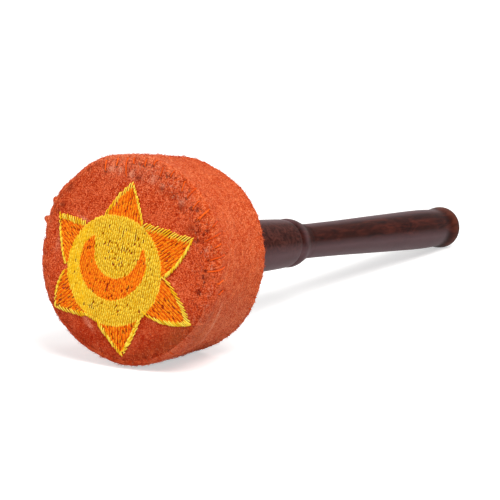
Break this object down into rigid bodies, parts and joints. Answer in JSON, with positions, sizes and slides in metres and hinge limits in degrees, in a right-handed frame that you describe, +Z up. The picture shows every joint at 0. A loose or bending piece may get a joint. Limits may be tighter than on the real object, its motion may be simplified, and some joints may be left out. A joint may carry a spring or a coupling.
{
  "type": "singing bowl mallet",
  "caption": "Round felt-headed mallet with an embroidered lotus and crescent on its face and a turned hardwood handle, for striking singing bowls and gongs.",
  "frame": {"origin": "on the surface the mallet lies on, under the middle of its box", "axes": "+Y along the handle towards its knob, the head's face looks towards -Y; +Z up"},
  "size_m": [0.0844, 0.312, 0.0856],
  "materials": {
    "dark_wood": "turned dark hardwood, satin lacquer",
    "pale_wood": "plain turned softwood or beech, unfinished",
    "zinc_steel": "zinc plated",
    "padding_felt": "undyed soft wool felt",
    "face_felt": "dense wool felt, dark orange-red, slightly fluffy",
    "side_felt": "dense wool felt, orange, slightly fluffy",
    "seam_thread": "twisted sewing thread, bright orange",
    "yellow_thread": "glossy embroidery thread, yellow",
    "orange_thread": "glossy embroidery thread, orange"
  },
  "bodies": {
    "root": {"handle": "dark_wood", "head_core": "pale_wood", "core_washer": "zinc_steel", "core_screw": "zinc_steel", "padding_wrap": "padding_felt", "front_pad": "padding_felt", "rear_pad": "padding_felt", "front_cover": "face_felt", "side_cover": "side_felt", "rear_cover": "face_felt", "front_edge_thread": "seam_thread", "rear_edge_thread": "seam_thread", "side_seam_thread": "seam_thread", "embroidered_disc": "yellow_thread", "crescent": "orange_thread", "petal_border_1": "yellow_thread", "petal_fill_1": "orange_thread", "petal_border_2": "yellow_thread", "petal_fill_2": "orange_thread", "petal_border_3": "yellow_thread", "petal_fill_3": "orange_thread", "petal_border_4": "yellow_thread", "petal_fill_4": "orange_thread", "petal_border_5": "yellow_thread", "petal_fill_5": "orange_thread", "petal_border_6": "yellow_thread", "petal_fill_6": "orange_thread"}
  },
  "joints": []
}
